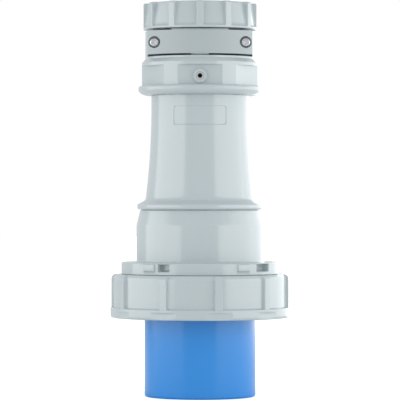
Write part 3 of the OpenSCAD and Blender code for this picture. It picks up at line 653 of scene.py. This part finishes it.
turns = turns_at([0], side + edge / top_r * 57.3 * 1.15, 3)
r, z = outline.T
turn = turns[:, None]
beside = np.abs(r * np.sin(np.radians(turn))) - (label_half_w - label_corner)
above = np.abs(z - label_z) - (label_half_h - label_corner)
distance = np.hypot(np.maximum(beside, 0), np.maximum(above, 0)) + np.minimum(np.maximum(beside, above), 0)
in_label = ease(0.5 - (distance - label_corner) / 0.2) * (np.cos(np.radians(turn)) > 0) * (r > 29.5)
radius = r - in_label * (r - top_r + label_depth)
handle = piece("moulded_handle", spin(radius, z, turns), "housing_grey", "plug_body")
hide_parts("handle")

# %% [markdown]
# ## Gland nut and its thread
# The nut squeezes the seal onto the cable. Twelve ribs give it grip. The flutes between them get
# deeper towards the top, so that the nut slides out of its mould. The nut and the gland's spigot carry
# the same thread of 3 mm pitch, 0.25 mm apart. The nut climbs 3 mm a turn, so they stay in step.

# %% Gland nut
nut_low, nut_high = box_mm("gland_nut")
nut_z0, nut_z1, nut_r = nut_low[2], nut_high[2], nut_high[0]
nut_rib_w, rim_h = 4.4, 2
low_depth, top_depth = 1.2, 3.2
hole_r, bore_r, cap_t = 20, 30.3, 3
pitch, thread_depth = 3, 0.65


def thread(z, turn, z0, z1):
    """Height of a right-hand thread, from 0 to 1: flat crests and roots, faded out at both ends."""
    wave = np.clip(0.5 + 0.9 * np.cos(2 * np.pi * (z / pitch - turn / 360)), 0, 1)
    return wave * ease((z - z0) / 1.2) * ease((z1 - z) / 1.2)


outline = refined(rounded([
    (bore_r, nut_z0, 0.3),
    (nut_r, nut_z0, 0.7),
    *[(nut_r, nut_z0 + rim_h + step, 0) for step in (-0.45, -0.3, -0.15, 0, 0.15)],
    (nut_r, nut_z1, 1.2),
    (hole_r, nut_z1, 1),
    (hole_r, nut_z1 - cap_t, 0.4),
    (bore_r, nut_z1 - cap_t, 0.5),
    *[(bore_r, level, 0) for level in np.linspace(nut_z1 - cap_t - 0.8, nut_z0 + 0.6, 36)],
]), 1.5)
near_rib = [0, 1.8, 2.8, 3.08, 3.28, 3.48, 3.68, 3.88, 4.2, 5.5, 7.5, 9.5, 11.5, 13.5, 15]
turns = turns_at(30 * np.arange(12), near_rib, 30)
r, z = outline.T
turn = turns[:, None]
between = 1 - inside(np.radians(offset(turn, 0, 12)) * nut_r, nut_rib_w / 2, 0.5)
depth = low_depth + (top_depth - low_depth) * (z - nut_z0 - rim_h) / (nut_z1 - nut_z0 - rim_h)
wall_r = nut_r - depth * between * ease((z - nut_z0 - rim_h + 0.45) / 0.6)
outer = (r > hole_r) & (z > nut_z0 + 1) & ((r > bore_r + 2) | (z > nut_z1 - 1))
radius = np.where(outer, hole_r + (r - hole_r) * (wall_r - hole_r) / (nut_r - hole_r), r)
in_bore = (r < bore_r + 0.6) & (r > hole_r + 5) & (z < nut_z1 - cap_t - 0.55)
radius = radius + in_bore * thread_depth * thread(z, turn, nut_z0 - 1.2, nut_z1 - cap_t - 0.4)
nut = piece("moulded_gland_nut", spin(radius, z, turns), "housing_grey", "nut")
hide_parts("gland_nut")

# %% [markdown]
# The spigot's thread is a sleeve of its own, sunk into the gland's wall. It follows the same formula
# as the nut's thread on a slightly smaller radius.

# %% Thread of the gland's spigot
spigot_r, spigot_z0, spigot_z1 = 30.05, nut_z0 + 0.1, nut_z0 + 11.6
levels = np.linspace(spigot_z0, spigot_z1, 40)
r = np.concatenate([np.full(40, spigot_r), [spigot_r - 1, spigot_r - 1]])
z = np.concatenate([levels, [spigot_z1, spigot_z0]])
turns = np.arange(0, 360, 2.5)
radius = r + (r > spigot_r - 0.5) * thread_depth * thread(z, turns[:, None], spigot_z0, spigot_z1)
piece("gland_thread", spin(radius, z, turns), "housing_grey", "plug_body")

# %% [markdown]
# ## Clamp screws
# Two machine screws pull the saddle onto the cable. Their pan heads sit in round pockets and have a
# cross recess. The recess is a dent in the face: a point inside one of its two arms drops by the
# recess depth. The shank has the screw's own fine thread.

# %% Clamp screws
head_r, head_t, shank_r, screw_pitch = 2.8, 2.6, 1.75, 0.6
arm_half_w, arm_half_len, recess_depth = 0.52, 1.8, 1.5


def clamp_screw(side, twist):
    """Screw along +Y on one side of the gland, with its recess turned by twist degrees."""
    low, high = box_mm("clamp_screw_" + side)
    centre = np.array([(low[0] + high[0]) / 2, low[1] + head_t, (low[2] + high[2]) / 2])
    length = high[1] - low[1] - head_t
    face_r = np.linspace(0, 2.1, 36)
    rim = rounded([(0, -head_t, 0), (head_r, -head_t, 0.6), (head_r, 0, 0.15), (shank_r, 0, 0.1)])[1:-1]
    rim = rim[rim[:, 0] > 2.15]
    shank_z = np.linspace(0.4, length - 0.6, 260)
    tip = [(shank_r - 0.5, length), (0, length)]
    r = np.concatenate([face_r, rim[:, 0], np.full(260, shank_r), [p[0] for p in tip]])
    z = np.concatenate([np.full(36, -head_t), rim[:, 1], shank_z, [p[1] for p in tip]])
    turns = np.arange(0, 360, 4.0)
    angle = np.radians(turns[:, None] + twist)
    across, along = np.abs(r * np.sin(angle)), np.abs(r * np.cos(angle))
    arm = np.minimum(
        np.maximum(across - arm_half_w, along - arm_half_len),
        np.maximum(along - arm_half_w, across - arm_half_len),
    )
    on_face = z < -head_t + 0.01
    crown = 0.18 * (r / head_r) ** 2 * (z < -head_t + 0.7)
    sunk = recess_depth * ease(0.5 - arm / 0.18) * on_face * (1 - 0.25 * r / arm_half_len)
    winding = np.clip(0.5 + 0.8 * np.cos(2 * np.pi * (z / screw_pitch - turns[:, None] / 360)), 0, 1)
    cut = 0.3 * (1 - winding) * ease((z - 0.8) / 0.5) * ease((length - 0.4 - z) / 0.5)
    points = spin(r - cut, z + crown + sunk, turns)
    placed = centre + points[..., [0, 2, 1]] * (1, 1, -1)
    made = piece("threaded_clamp_screw_" + side, placed, "screw_steel", "screw_" + side, poles=True)
    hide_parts("clamp_screw_" + side)


clamp_screw("left", 25)
clamp_screw("right", -20)
